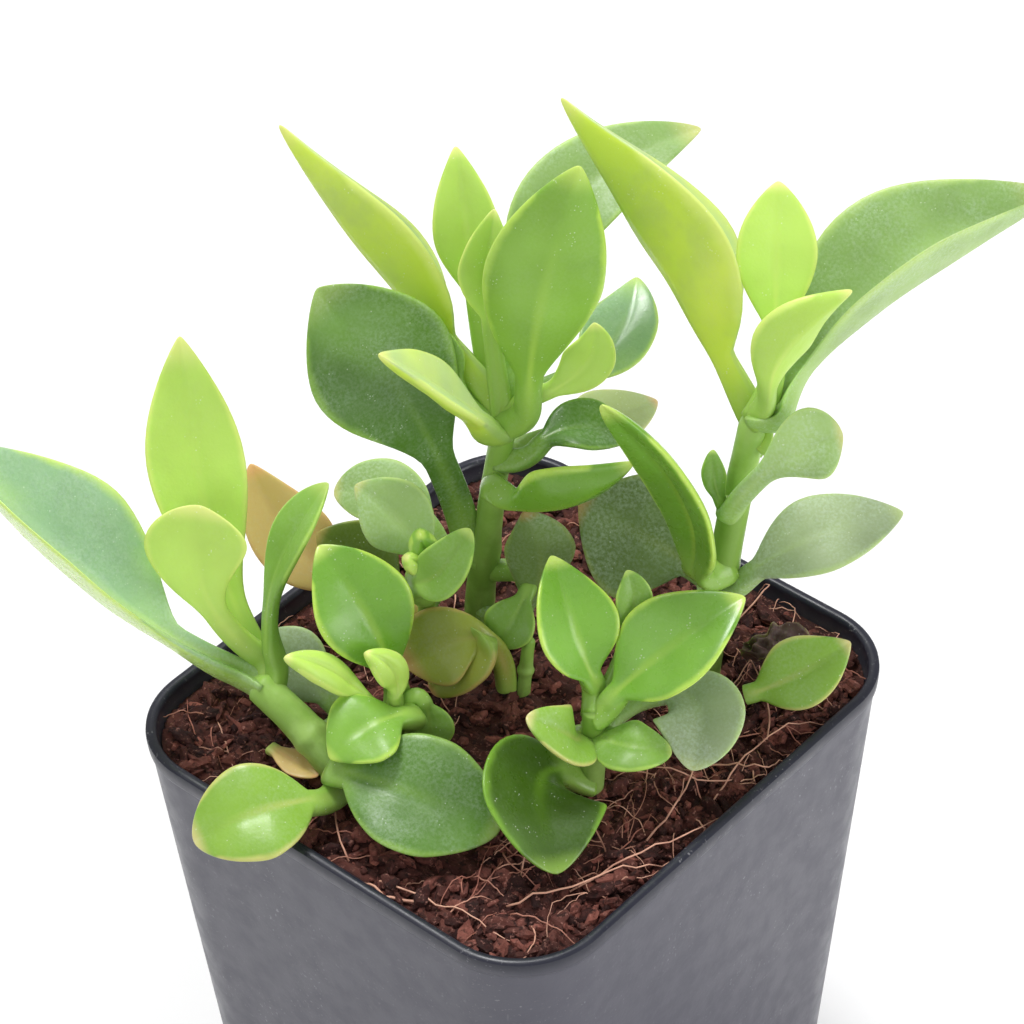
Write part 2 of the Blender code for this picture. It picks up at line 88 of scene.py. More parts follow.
# Leaves: name, stalk end, middle, tip, width, upper face looks towards, fold,
# thickness, shape, look
LEAVES = [
    ("left_leaf_long", (-24, -25.5, 82.5), (-38, -33.5, 94.5), (-58, -38, 110.5), 23,
     (0.42, 0.27, 0.87), 50, 1.8, LONG, "bluish"),
    ("left_leaf_spoon", (-22.5, -22, 84), (-27.3, -25.2, 94), (-29, -23.1, 105.6), 12.3,
     (0.5, -0.6, 0.3), 10, 1.6, LADLE, "pale"),
    ("left_leaf_tall", (-25, -20.5, 84), (-34, -17.5, 97), (-44, -10, 116), 12,
     (0.5, -0.5, 0.5), 14, 1.7, TALL, "pale"),
    ("left_leaf_narrow", (-20, -21.5, 84), (-22, -18, 94), (-21, -9, 104), 7.5,
     (-0.3, -0.5, 0.8), 18, 1.7, SPOON, "mid"),
    ("left_leaf_scrap", (-17, -26.5, 74.5), (-13, -26.5, 74.6), (-9, -26.5, 74.6), 4,
     (0, 0, 1), 10, 0.9, ROUND, "peach"),
    ("front_leaf_back", (-6.5, -14.5, 83), (-9.5, -15.5, 93), (-17, -15.5, 100.5), 12.5,
     (0.6, -0.3, 0.5), 16, 1.8, EGG, "glossy"),
    ("front_leaf_finger", (-7.5, -20, 84.3), (-9.5, -23, 89.5), (-12.5, -27, 93), 4,
     (0.3, -0.2, 0.9), 8, 2.8, PLUMP, "pale"),
    ("front_leaf_inner", (-4, -17, 85.5), (-4.3, -17.5, 89), (-6.3, -19.5, 92), 4,
     (0.4, -0.3, 0.8), 8, 3.0, PLUMP, "pale"),
    ("front_leaf_right", (-1.2, -18, 83), (-2.7, -23, 84.2), (-4.5, -28.5, 82), 10.5,
     (0.1, -0.3, 0.9), 12, 1.9, EGG, "bright"),
    ("front_leaf_rear", (-2.4, -14, 82), (-1, -14.6, 79.5), (-0.5, -16, 76.5), 6,
     (0.6, -0.3, 0.6), 8, 1.4, ROUND, "mid"),
    ("front_leaf_broad", (-3.5, -27.5, 79.3), (5.5, -25, 79.8), (16, -21, 77), 15,
     (0.2, -0.4, 0.9), 8, 1.8, PETAL, "deep"),
    ("front_leaf_rim", (-4.5, -32, 77.2), (-7, -38.5, 79.2), (-11.5, -45.5, 76.8), 12.5,
     (0.2, -0.4, 0.9), 8, 1.8, PETAL, "yellowing"),
    ("front_leaf_shaded", (-15, -17, 76), (-20, -18, 80), (-25.5, -18, 82.5), 9,
     (-0.2, -0.4, 0.9), 8, 1.5, ROUND, "grey"),
    ("centre_leaf_large", (-12.5, 6, 90), (-15, 0.5, 112), (-23.5, -6, 131), 18,
     (0.5, -0.5, 0.5), 14, 1.8, BROAD, "deep"),
    ("centre_leaf_long", (-10.3, 8.4, 113.2), (-23, 5.4, 127.2), (-39, 5, 141.5), 17.5,
     (0.36, 0.8, 0.49), 50, 1.7, SICKLE, "lime"),
    ("centre_leaf_back", (-14, 11.5, 121), (-17, 13.5, 131), (-21, 16.5, 140), 8,
     (0.5, -0.6, 0.3), 16, 1.6, LANCE, "pale"),
    ("centre_leaf_mid", (-10, 9.5, 122), (-10.5, 10, 130), (-11, 12, 138), 7.5,
     (0.3, -0.4, 0.5), 26, 1.6, LANCE, "pale"),
    ("centre_leaf_front", (-4.5, 9.5, 113), (-1.5, 9, 131), (2, 12.5, 150), 14.2,
     (-0.6, 0.7, 0.1), 12, 1.9, EGG, "bright"),
    ("centre_leaf_rear", (-10, 14, 118), (-11.5, 25, 130), (-5.5, 44, 134), 12.5,
     (0.3, -0.2, 0.9), 20, 1.6, EGG, "frosty"),
    ("centre_leaf_left", (-7.5, 5.5, 110), (-7.5, -2, 120.5), (-9, -11, 131.5), 9,
     (0.4, 0.4, 0.7), 24, 2.0, LANCE, "lime"),
    ("centre_leaf_tiny", (-12, 5.5, 114.5), (-13, 5, 119), (-14.5, 5, 123), 3.4,
     (0.5, -0.5, 0.3), 10, 1.2, LANCE, "mid"),
    ("centre_leaf_bluish", (-7, 17, 110), (-5, 26, 112), (-8.5, 35, 115), 9,
     (0.3, -0.5, 0.8), 12, 1.6, EGG, "bluish"),
    ("centre_leaf_dark", (-4.5, 11, 105), (-2, 15.5, 106.5), (3, 21, 104), 8,
     (0.1, -0.2, 0.9), 18, 1.6, EGG, "deep"),
    ("centre_leaf_low", (-5.5, 5.5, 101), (2, 7, 103), (10, 12, 110), 10,
     (-0.6, 0.7, 0.4), 28, 2.0, LANCE, "glossy"),
    ("centre_leaf_pale", (-6.5, 14, 103.5), (-4, 22, 102.5), (-2, 31, 101), 8,
     (0.2, -0.3, 0.9), 8, 1.3, EGG, "blush"),
    ("centre_leaf_dusty", (-4.8, 6.5, 80), (-2.5, 8.5, 89.5), (-4, 7.5, 97.5), 8.5,
     (-0.5, 0.5, 0.3), 10, 1.6, EGG, "dusty"),
    ("bud_leaf_frosted", (-9.3, -4, 93), (-13.8, -4.3, 98.5), (-19, -6.5, 103), 9,
     (0.5, -0.5, 0.6), 12, 1.8, EGG, "frosty"),
    ("bud_leaf_curled", (-6.9, -7.9, 95), (-4, -7, 98.5), (-2, -4.5, 104), 5.6,
     (0.3, -0.6, 0.6), 14, 1.9, CLASP, "mid"),
    ("bud_leaf_tip", (-8.3, -5.2, 95.5), (-8.5, -6, 98.5), (-8.3, -6.5, 101), 3.2,
     (0.4, -0.4, 0.8), 0, 3.0, PLUMP, "bright"),
    ("rear_leaf_orange", (-22, -1.5, 80), (-31, -5, 85), (-40, -4, 93.5), 10,
     (0.4, -0.5, 0.7), 12, 1.6, EGG, "peach"),
    ("rear_leaf_grey", (-18.5, 6.5, 86.5), (-25, 6, 89.5), (-32.5, 3, 88), 9,
     (0.3, -0.3, 0.9), 8, 1.3, ROUND, "frosty"),
    ("rear_leaf_olive", (-19.3, 0.8, 80.5), (-23, -1.5, 84.5), (-28.5, -4.5, 88.5), 10,
     (0.4, -0.5, 0.7), 10, 1.5, EGG, "shaded"),
    ("twisted_leaf", (-2.2, 1, 73.8), (-3.8, -2, 83), (-9.5, -9.5, 80.5), 10,
     (0.5, -0.4, 0.6), 12, 2.2, PADDLE, "olive"),
    ("right_leaf_long", (20, 22.5, 115), (6.2, 22.9, 131.5), (-11.5, 25, 146.5), 26,
     (0.52, 0.74, 0.46), 50, 1.8, SICKLE, "lime"),
    ("right_leaf_pale", (21, 25, 124), (17.5, 29.5, 133), (13.8, 34.5, 140.5), 9.5,
     (0.5, -0.6, 0.3), 14, 1.6, EGG, "pale"),
    ("right_leaf_top", (23, 21, 121.5), (24.7, 22.7, 129.5), (29, 29, 135), 8,
     (-0.6, 0.6, 0.2), 22, 1.7, BOAT, "pale"),
    ("right_leaf_large", (24, 23, 118), (25.5, 36.5, 125.5), (37, 60, 135), 25,
     (-0.35, -0.39, 0.85), 52, 1.8, LONG, "frosty"),
    ("right_leaf_round", (21.2, 16.5, 105.4), (27.3, 18.6, 115.3), (32, 24, 118), 8.5,
     (0.5, -0.5, 0.6), 10, 1.9, SPOON, "frosty"),
    ("right_leaf_tiny", (19.5, 16.8, 105.5), (19, 16, 110), (18.5, 16.5, 113.5), 2.6,
     (0.5, -0.5, 0.4), 10, 1.2, LANCE, "mid"),
    ("right_leaf_down", (17.5, 15, 95.2), (16.5, 12.5, 109), (11, 5, 124), 8,
     (-0.1, -0.8, 0.4), 18, 1.9, CLASP, "glossy"),
    ("right_leaf_dark", (14, 20.5, 88.5), (7, 18.5, 91.5), (-1.5, 15, 95.5), 17,
     (0.5, -0.6, 0.4), 10, 1.6, EGG, "dusty"),
    ("right_leaf_low", (20.5, 19.5, 91), (26, 26, 96.5), (32, 37, 97), 11,
     (0.1, -0.3, 1.0), 10, 1.7, EGG, "grey"),
    ("low_leaf_back", (16, -3.5, 88.5), (13.5, -3.5, 94.5), (6.5, 0.5, 101), 11.5,
     (0.7, -0.2, 0.5), 24, 1.9, EGG, "glossy"),
    ("low_leaf_right", (19, -3.5, 87), (22.5, 1.5, 93), (27.5, 11.5, 98.5), 13,
     (0.1, -0.4, 0.85), 18, 2.0, EGG, "glossy"),
    ("low_leaf_front", (17, -8, 82.5), (18, -11, 86.5), (15, -14.5, 90.5), 6.8,
     (0.4, -0.1, 0.8), 14, 1.7, CLASP, "yellowing"),
    ("low_leaf_pair", (20, -5.5, 82.5), (24, -5.5, 84), (27.5, -2.5, 83.5), 6,
     (0.1, -0.3, 0.9), 10, 1.7, CLASP, "mid"),
    ("low_leaf_round", (20, 3, 84), (26, 4, 85), (30.5, -2.5, 82), 11,
     (0.2, -0.3, 0.9), 10, 1.6, ROUND, "grey"),
    ("low_leaf_bud", (17, 1.2, 91), (16.3, 4, 96), (14.5, 5, 100), 4.5,
     (0.5, -0.4, 0.4), 20, 1.5, EGG, "mid"),
    ("low_leaf_dark", (15.5, -8.5, 76.8), (17, -15.2, 80), (25.8, -21.9, 76.7), 17,
     (0.6, 0, 0.8), 18, 1.9, ROUND, "dark"),
    ("fallen_leaf", (24, 16.5, 76.5), (28, 20.5, 79), (32, 27, 82.5), 9,
     (0.4, -0.6, 0.6), 14, 1.8, EGG, "yellowing"),
    ("withered_leaf", (19.5, 22, 77), (23, 24, 78.5), (25, 28, 78), 6,
     (0.1, -0.2, 0.9), 30, 1.2, EGG, "withered"),
]


# Looks: colours of the upper face, the underside, the margin and the tip, then the share
# of pale bloom, the roughness and the clear gloss
LOOKS = {
    "lime": (
        (0.50, 0.66, 0.30), (0.60, 0.80, 0.07), (0.72, 0.88, 0.20),
        (0.80, 0.85, 0.25), 0.05, 0.40, 0.10,
    ),
    "pale": (
        (0.52, 0.76, 0.13), (0.48, 0.72, 0.11), (0.74, 0.90, 0.22),
        (0.85, 0.90, 0.30), 0.05, 0.42, 0.08,
    ),
    "bright": (
        (0.22, 0.44, 0.05), (0.24, 0.46, 0.045), (0.55, 0.78, 0.12),
        (0.60, 0.78, 0.15), 0.05, 0.36, 0.15,
    ),
    "glossy": (
        (0.17, 0.38, 0.035), (0.19, 0.41, 0.035), (0.58, 0.80, 0.12),
        (0.70, 0.85, 0.20), 0.03, 0.28, 0.30,
    ),
    "mid": (
        (0.20, 0.38, 0.05), (0.22, 0.42, 0.055), (0.45, 0.68, 0.12),
        (0.50, 0.65, 0.15), 0.08, 0.40, 0.10,
    ),
    "deep": (
        (0.090, 0.215, 0.024), (0.16, 0.32, 0.05), (0.28, 0.48, 0.07),
        (0.35, 0.50, 0.12), 0.18, 0.34, 0.22,
    ),
    "dark": (
        (0.045, 0.105, 0.006), (0.12, 0.26, 0.02), (0.20, 0.40, 0.03),
        (0.26, 0.44, 0.06), 0.03, 0.32, 0.20,
    ),
    "frosty": (
        (0.28, 0.44, 0.13), (0.38, 0.56, 0.18), (0.50, 0.68, 0.22),
        (0.62, 0.60, 0.22), 0.30, 0.48, 0.05,
    ),
    "grey": (
        (0.33, 0.42, 0.23), (0.36, 0.46, 0.22), (0.45, 0.60, 0.22),
        (0.50, 0.60, 0.25), 0.35, 0.50, 0.03,
    ),
    "dusty": (
        (0.15, 0.24, 0.06), (0.18, 0.28, 0.07), (0.30, 0.38, 0.08),
        (0.60, 0.30, 0.10), 0.35, 0.48, 0.06,
    ),
    "bluish": (
        (0.34, 0.55, 0.30), (0.50, 0.74, 0.10), (0.62, 0.84, 0.16),
        (0.60, 0.75, 0.20), 0.28, 0.26, 0.35,
    ),
    "olive": (
        (0.32, 0.38, 0.05), (0.36, 0.40, 0.06), (0.66, 0.48, 0.16),
        (0.80, 0.42, 0.20), 0.08, 0.34, 0.15,
    ),
    "shaded": (
        (0.10, 0.16, 0.012), (0.13, 0.19, 0.015), (0.26, 0.30, 0.04),
        (0.45, 0.32, 0.10), 0.06, 0.42, 0.08,
    ),
    "peach": (
        (0.66, 0.47, 0.17), (0.66, 0.46, 0.18), (0.72, 0.42, 0.18),
        (0.85, 0.42, 0.20), 0.08, 0.44, 0.08,
    ),
    "blush": (
        (0.48, 0.56, 0.26), (0.52, 0.60, 0.25), (0.60, 0.62, 0.28),
        (0.85, 0.50, 0.28), 0.20, 0.44, 0.06,
    ),
    "yellowing": (
        (0.24, 0.44, 0.045), (0.30, 0.48, 0.06), (0.66, 0.62, 0.20),
        (0.78, 0.66, 0.30), 0.10, 0.34, 0.15,
    ),
    "withered": (
        (0.060, 0.026, 0.022), (0.085, 0.042, 0.036), (0.22, 0.13, 0.12),
        (0.30, 0.17, 0.14), 0.03, 0.60, 0.05,
    ),
}
STALK_COLOUR = (0.31, 0.52, 0.09)
BLOOM_COLOUR = (0.66, 0.78, 0.66)  # the pale powder on older leaves
PAINTED_GLINT_COLOUR = (0.90, 0.95, 0.86)  # painted glints: the crystalline specks drawn near-white, as if catching the light
FLESH_WEIGHT, FLESH_IOR = 0.22, 1.42
FLESH_RADIUS = (0.7, 1.0, 0.25)  # how far each colour of light travels in the flesh

# Which stem each group of leaves grows from; loose leaves have none
GROUPS = ["left", "front", "centre", "bud", "rear", "right", "low"]
FROM_LEFT_STEM = ["front_leaf_broad", "front_leaf_rim", "front_leaf_shaded"]
LOOSE = ["left_leaf_scrap", "fallen_leaf", "withered_leaf", "twisted_leaf"]

# More leaves, too small or too deep in the plant for nodes of their own
SMALL_LEAVES = [
    ("centre_leaf_sliver", (-5, 11, 113), (0, 14.9, 118), (1, 15.6, 124.6), 6,
     (0.5, -0.6, 0.3), 10, 1.5, EGG, "pale"),
    ("bud_leaf_round", (-7.8, -6.4, 95.5), (-8.3, -7.6, 97), (-8.9, -8.8, 98.6), 2.6,
     (0.4, -0.4, 0.8), 0, 2.4, PLUMP, "pale"),
    ("centre_leaf_lobe", (-3.2, 7, 85.5), (-2.6, 3, 83.2), (-3.4, 0.9, 80), 6.5,
     (0.4, -0.5, 0.7), 14, 1.6, EGG, "mid"),
    ("twisted_leaf_lobe", (-3.4, -1.5, 84), (-4.7, -4.3, 80.4), (-7, -7.6, 76), 7.5,
     (0.2, -0.5, 0.8), 12, 2.0, CLASP, "olive"),
    ("bud_leaf_peach", (-11.8, -2.7, 80.5), (-13.8, -4.5, 83), (-16, -6.2, 84.4), 3.6,
     (0.3, -0.4, 0.8), 14, 1.4, EGG, "peach"),
]
SMALL_STEMS = [
    ("centre_stalk_thin", [(-0.3, 1.8, 73.8), (-0.2, 2.6, 77), (-0.6, 3.9, 81)], 0.75, 0.65),
]

STATIONS = 44  # rings along each fine leaf
AROUND = 36  # points round each ring
ROOT_RINGS = 10  # further rings where a stalk runs into its stem


def unit(vector):
    return vector / np.linalg.norm(vector)


def ease(value):
    """0 to 1 with level ends."""
    value = min(1.0, max(0.0, value))
    return value * value * (3 - 2 * value)


def through(start, middle, end, share):
    """The point of a smooth curve through three points, and its direction there."""
    place = (
        start * (1 - share) * (1 - 2 * share)
        + middle * 4 * share * (1 - share)
        + end * share * (2 * share - 1)
    )
    heading = start * (4 * share - 3) + middle * (4 - 8 * share) + end * (4 * share - 1)
    return place, unit(heading)


def blade(share, shape):
    """The blade's width at this share of the leaf, as a fraction of its greatest."""
    stalk, widest, bluntness = shape
    along = max(0.0, (share - stalk) / (1 - stalk))
    power = math.log(0.5) / math.log(widest)
    return math.sin(math.pi * min(1.0, along) ** power) ** bluntness


def ripple(x, y, z):
    """Smooth noise, about -1 to 1."""
    return noise.noise(Vector((x, y, z)))


def add_mesh(name, points, faces, material, smooth=True, attributes=None):
    """A mesh object from points in mm, with float attributes for its shader."""
    mesh = bpy.data.meshes.new(name)
    mesh.from_pydata((np.asarray(points, float) * MM).tolist(), [], faces)
    mesh.polygons.foreach_set("use_smooth", [smooth] * len(mesh.polygons))
    for key, values in (attributes or {}).items():
        layer = mesh.attributes.new(key, "FLOAT", "POINT")
        layer.data.foreach_set("value", np.asarray(values, np.float32))
    mesh.materials.append(material)
    piece = bpy.data.objects.new(name, mesh)
    bpy.context.scene.collection.objects.link(piece)
    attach(piece, "root")
    return piece


def tube_faces(rings, around, first=0):
    """Quads between successive rings of points."""
    faces = []
    for ring in range(rings - 1):
        low = first + ring * around
        high = low + around
        for i in range(around):
            j = (i + 1) % around
            faces.append((low + i, low + j, high + j, high + i))
    return faces


def close_ends(faces, rings, around, first=0):
    """Fans from one point before the rings and one after them."""
    last = first + (rings - 1) * around
    for i in range(around):
        j = (i + 1) % around
        faces.append((first - 1, first + j, first + i))
        faces.append((last + i, last + j, last + around))
    return faces


class Shader:
    """A Principled material built node by node."""

    def __init__(self, name):
        self.material = bpy.data.materials.new(name)
        self.material.use_nodes = True
        self.tree = self.material.node_tree
        self.surface = self.tree.nodes["Principled BSDF"]

    def put(self, socket, value):
        if isinstance(value, bpy.types.NodeSocket):
            self.tree.links.new(value, socket)
        elif isinstance(value, tuple):
            needs_alpha = len(value) == 3 and socket.type == "RGBA"
            socket.default_value = (*value, 1.0) if needs_alpha else value
        else:
            socket.default_value = value

    def set(self, **values):
        for key, value in values.items():
            self.put(self.surface.inputs[key.replace("_", " ")], value)

    def place(self):
        return self.tree.nodes.new("ShaderNodeTexCoord").outputs["Object"]

    def attribute(self, name):
        node = self.tree.nodes.new("ShaderNodeAttribute")
        node.attribute_name = name
        return node.outputs["Fac"]

    def noise(self, scale, detail=3.0, roughness=0.55):
        node = self.tree.nodes.new("ShaderNodeTexNoise")
        self.put(node.inputs["Vector"], self.place())
        node.inputs["Scale"].default_value = scale
        node.inputs["Detail"].default_value = detail
        node.inputs["Roughness"].default_value = roughness
        return node.outputs["Fac"]

    def cells(self, scale, output="Distance"):
        node = self.tree.nodes.new("ShaderNodeTexVoronoi")
        self.put(node.inputs["Vector"], self.place())
        node.inputs["Scale"].default_value = scale
        return node.outputs[output]

    def math(self, operation, *values):
        node = self.tree.nodes.new("ShaderNodeMath")
        node.operation = operation
        for socket, value in zip(node.inputs, values):
            self.put(socket, value)
        return node.outputs["Value"]

    def ramp(self, value, low, high, out_low=0.0, out_high=1.0):
        node = self.tree.nodes.new("ShaderNodeMapRange")
        node.interpolation_type = "SMOOTHSTEP"
        for key, number in zip(("Value", "From Min", "From Max", "To Min", "To Max"),
                               (value, low, high, out_low, out_high)):
            self.put(node.inputs[key], number)
        return node.outputs["Result"]

    def mix(self, share, first, second, blend="MIX"):
        node = self.tree.nodes.new("ShaderNodeMix")
        node.data_type = "RGBA"
        node.blend_type = blend
        self.put(node.inputs["Factor"], share)
        self.put(node.inputs[6], first)
        self.put(node.inputs[7], second)
        return node.outputs[2]

    def bump(self, height, strength, distance):
        node = self.tree.nodes.new("ShaderNodeBump")
        node.inputs["Strength"].default_value = strength
        node.inputs["Distance"].default_value = distance
        self.put(node.inputs["Height"], height)
        self.put(self.surface.inputs["Normal"], node.outputs["Normal"])


def leaf_material(name, look):
    """Fleshy leaf: mottled flesh, pale midrib, light margin, tinted tip, fine grain with painted
    glints.
    """
    upper, under, margin, tip, bloom, roughness, gloss = LOOKS[look]
    s = Shader(name)
    across = s.math("ABSOLUTE", s.attribute("across"))
    along = s.attribute("along")
    colour = s.mix(s.attribute("upper"), under, upper)
    mottle = s.noise(140, 4)
    darker = tuple(c * 0.7 for c in upper)
    colour = s.mix(s.ramp(mottle, 0.42, 0.75, 0.0, 0.35), colour, darker)
    lighter = tuple(min(1.0, c * 1.35 + 0.03) for c in under)
    colour = s.mix(s.ramp(s.noise(60, 2), 0.45, 0.75, 0.0, 0.5), colour, lighter)
    midrib = s.ramp(across, 0.0, 0.16, 1.0, 0.0)
    vein = s.math("MULTIPLY", midrib, s.ramp(along, 0.1, 0.9, 0.40, 0.0))
    colour = s.mix(vein, colour, margin)
    rim = s.math("ADD", across, s.math("MULTIPLY", s.math("SUBTRACT", s.noise(420, 2), 0.5), 0.12))
    colour = s.mix(s.ramp(rim, 0.84, 1.0, 0.0, 0.8), colour, margin)
    colour = s.mix(s.ramp(along, 0.90, 1.0, 0.0, 0.8), colour, tip)
    if look != "withered":
        colour = s.mix(s.ramp(along, 0.0, 0.22, 0.75, 0.0), colour, STALK_COLOUR)
    grain = s.noise(2600, 2, 0.6)
    patches = s.ramp(s.noise(160, 4), 0.35, 0.65, 0.25, 1.0)
    powder = s.math("MULTIPLY", s.ramp(grain, 0.30, 0.75), patches)
    colour = s.mix(s.math("MULTIPLY", powder, bloom), colour, BLOOM_COLOUR)
    # Painted glints: crystalline specks drawn near-white, standing in for light sparkling off them
    specks = s.ramp(s.cells(2200), 0.12, 0.25, 1.0, 0.0)
    painted_glint = s.math("MULTIPLY", specks, s.ramp(s.noise(500, 2), 0.58, 0.66))
    colour = s.mix(s.math("MULTIPLY", painted_glint, 0.4), colour, PAINTED_GLINT_COLOUR)
    uneven = s.ramp(s.noise(500, 3), 0.3, 0.7, roughness - 0.06, roughness + 0.10)
    s.set(Base_Color=colour, Roughness=uneven, Subsurface_Weight=FLESH_WEIGHT,
          Subsurface_Scale=0.0016, Coat_Weight=gloss, Coat_Roughness=0.22, IOR=FLESH_IOR)
    s.surface.inputs["Subsurface Radius"].default_value = FLESH_RADIUS
    fine = s.math("MULTIPLY", grain, 0.35)
    relief = s.math("ADD", fine, s.math("MULTIPLY", s.noise(900, 3), 0.65))
    s.bump(relief, 0.45, 0.00012)
    return s.material


def stem_material():
    """Smooth fleshy stem: pale green, darker and browner towards the soil, faint streaks."""
    s = Shader("stem_flesh")
    height = s.attribute("along")
    colour = s.mix(height, (0.17, 0.29, 0.05), (0.31, 0.53, 0.09))
    colour = s.mix(s.ramp(s.noise(180, 4), 0.42, 0.72, 0.0, 0.5), colour, (0.48, 0.70, 0.20))
    colour = s.mix(s.ramp(s.noise(420, 3), 0.55, 0.75, 0.0, 0.35), colour, (0.22, 0.34, 0.06))
    colour = s.mix(s.ramp(height, 0.0, 0.10, 0.7, 0.0), colour, (0.28, 0.20, 0.10))
    s.set(Base_Color=colour, Roughness=s.ramp(s.noise(600, 3), 0.3, 0.7, 0.34, 0.5),
          Subsurface_Weight=FLESH_WEIGHT, Subsurface_Scale=0.0018, IOR=FLESH_IOR)
    s.surface.inputs["Subsurface Radius"].default_value = FLESH_RADIUS
    s.bump(s.noise(1300, 3), 0.35, 0.00012)
    return s.material


def soil_material():
    """Moist coir: red-brown crumbs, with painted near-black shade in the hollows and painted
    pinkish highlights.
    """
    s = Shader("coir_soil")
    tone = s.attribute("tone")
    # Low tone is painted shade, near-black for the hollows between crumbs; high tone is the crumbs'
    # red-brown
    colour = s.mix(tone, (0.028, 0.006, 0.005), (0.40, 0.135, 0.100))
    damp = s.ramp(s.noise(520, 5, 0.7), 0.42, 0.70, 0.0, 0.6)
    colour = s.mix(damp, colour, (0.085, 0.020, 0.015))
    # Painted highlights: pinkish flecks where the crumbs catch the light
    colour = s.mix(s.ramp(s.noise(1500, 3, 0.7), 0.56, 0.72, 0.0, 0.7), colour, (0.52, 0.24, 0.19))
    # Painted shade: near-black patches standing in for shadow in the hollows
    colour = s.mix(s.ramp(s.noise(1100, 2), 0.52, 0.70, 0.0, 0.85), colour, (0.018, 0.005, 0.004))
    s.set(Base_Color=colour, Roughness=s.ramp(s.noise(900, 3), 0.3, 0.7, 0.62, 0.95), IOR=1.4)
    s.bump(s.noise(1800, 5, 0.75), 0.9, 0.00035)
    return s.material


def fibre_material():
    """Dry coir hair: orange-pink to straw, with darker lengths."""
    s = Shader("coir_fibre")
    colour = s.mix(s.attribute("tone"), (0.38, 0.12, 0.085), (0.85, 0.48, 0.34))
    colour = s.mix(s.ramp(s.noise(260, 3), 0.45, 0.72, 0.0, 0.6), colour, (0.25, 0.09, 0.06))
    s.set(Base_Color=colour, Roughness=s.ramp(s.noise(900, 2), 0.3, 0.7, 0.45, 0.65), IOR=1.45)
    s.bump(s.noise(3000, 2), 0.4, 0.00008)
    return s.material


LOWEST_PAINTED_SHEEN = 71.5  # below this height the wall is painted lighter, a painted reflection of the bright room


def pot_material():
    """Dark moulded plastic: satin, with fine pitting, dust and scuffs, and a painted reflection on
    the walls.
    """
    s = Shader("pot_plastic")
    split = s.tree.nodes.new("ShaderNodeSeparateXYZ")
    s.put(split.inputs["Vector"], s.place())
    # Painted reflection: walls below the rim band coloured lighter, standing in for the bright
    # room's sheen
    painted_sheen = s.ramp(split.outputs["Z"], LOWEST_PAINTED_SHEEN * MM, POT_HEIGHT * MM, 1.0, 0.0)
    colour = s.mix(painted_sheen, (0.010, 0.011, 0.024), (0.075, 0.074, 0.098))
    colour = s.mix(s.ramp(s.noise(40, 3), 0.35, 0.7, 0.0, 0.15), colour, (0.06, 0.06, 0.08))
    motes = s.ramp(s.noise(1900, 2), 0.62, 0.74)
    dust = s.math("MULTIPLY", motes, s.ramp(s.noise(90, 3), 0.40, 0.65))
    colour = s.mix(s.math("MULTIPLY", dust, 0.45), colour, (0.36, 0.36, 0.38))
    stretched = s.tree.nodes.new("ShaderNodeMapping")
    s.put(stretched.inputs["Vector"], s.place())
    stretched.inputs["Scale"].default_value = (900.0, 900.0, 60.0)
    stretched.inputs["Rotation"].default_value = (0.35, 0.2, 0.0)
    scratch = s.tree.nodes.new("ShaderNodeTexNoise")
    s.put(scratch.inputs["Vector"], stretched.outputs["Vector"])
    scratch.inputs["Scale"].default_value = 1.0
    streaks = s.ramp(scratch.outputs["Fac"], 0.70, 0.76)
    marks = s.math("MULTIPLY", streaks, s.ramp(s.noise(45, 2), 0.5, 0.62))
    colour = s.mix(s.math("MULTIPLY", marks, 0.5), colour, (0.40, 0.40, 0.42))
    uneven = s.ramp(s.noise(320, 4), 0.3, 0.7, 0.30, 0.44)
    dulled = s.math("ADD", uneven, s.math("MULTIPLY", marks, 0.2))
    s.set(Base_Color=colour, Roughness=dulled, IOR=1.49)
    s.bump(s.math("ADD", s.noise(1600, 3), s.math("MULTIPLY", marks, -0.6)), 0.22, 0.00008)
    return s.material


def floor_material():
    """White studio paper."""
    s = Shader("floor_paper")
    s.set(Base_Color=s.mix(s.noise(8, 2), (0.93, 0.93, 0.93), (0.96, 0.96, 0.96)), Roughness=0.9)
    s.bump(s.noise(900, 2), 0.05, 0.0001)
    return s.material


def stem_axis(name, share):
    """The point of this stem's axis at this share of its length."""
    path = next(row[1] for row in STEMS if row[0] == name)
    return through(*(np.array(p, float) for p in path), share)[0]


def stalk_root(name, start):
    """Where this leaf's stalk enters its stem: a little below the nearest point of the axis."""
    group = name.split("_")[0]
    if name in LOOSE or group not in GROUPS:
        return None
    stem = "left_stem" if name in FROM_LEFT_STEM else group + "_stem"
    shares = [i / 40 for i in range(41)]
    nearest = min(shares, key=lambda share: np.linalg.norm(stem_axis(stem, share) - start))
    length = np.linalg.norm(stem_axis(stem, 1.0) - stem_axis(stem, 0.0))
    return stem_axis(stem, max(0.05, nearest - 2.0 / length))


def centreline(name, start, middle, end):
    """Stations (place, heading, share) from inside the stem, where share is below 0, to the tip."""
    line = []
    root = stalk_root(name, start)
    if root is not None:
        _, onward = through(start, middle, end, 0.0)
        elbow = start - onward * np.linalg.norm(start - root) * 0.5
        for ring in range(ROOT_RINGS):
            t = ring / ROOT_RINGS
            point = (1 - t) ** 2 * root + 2 * t * (1 - t) * elbow + t * t * start
            slope = (1 - t) * (elbow - root) + t * (start - elbow)
            line.append((point, unit(slope), t - 1.0))
    for ring in range(STATIONS):
        share = 0.5 - 0.5 * math.cos(math.pi * (ring + 0.25) / (STATIONS - 0.25))
        place, heading = through(start, middle, end, min(share, 0.9985))
        line.append((place, heading, share))
    return line


def side_directions(line, looks):
    """The sideways direction at each station, square to where the upper face looks.

    In the root it is carried back from the leaf, so that the stalk doesn't twist.
    """
    sides = [unit(np.cross(heading, looks)) for _, heading, _ in line]
    first = sum(share < 0 for _, _, share in line)
    for ring in reversed(range(first)):
        heading = line[ring][1]
        sides[ring] = unit(sides[ring + 1] - heading * np.dot(sides[ring + 1], heading))
    return sides


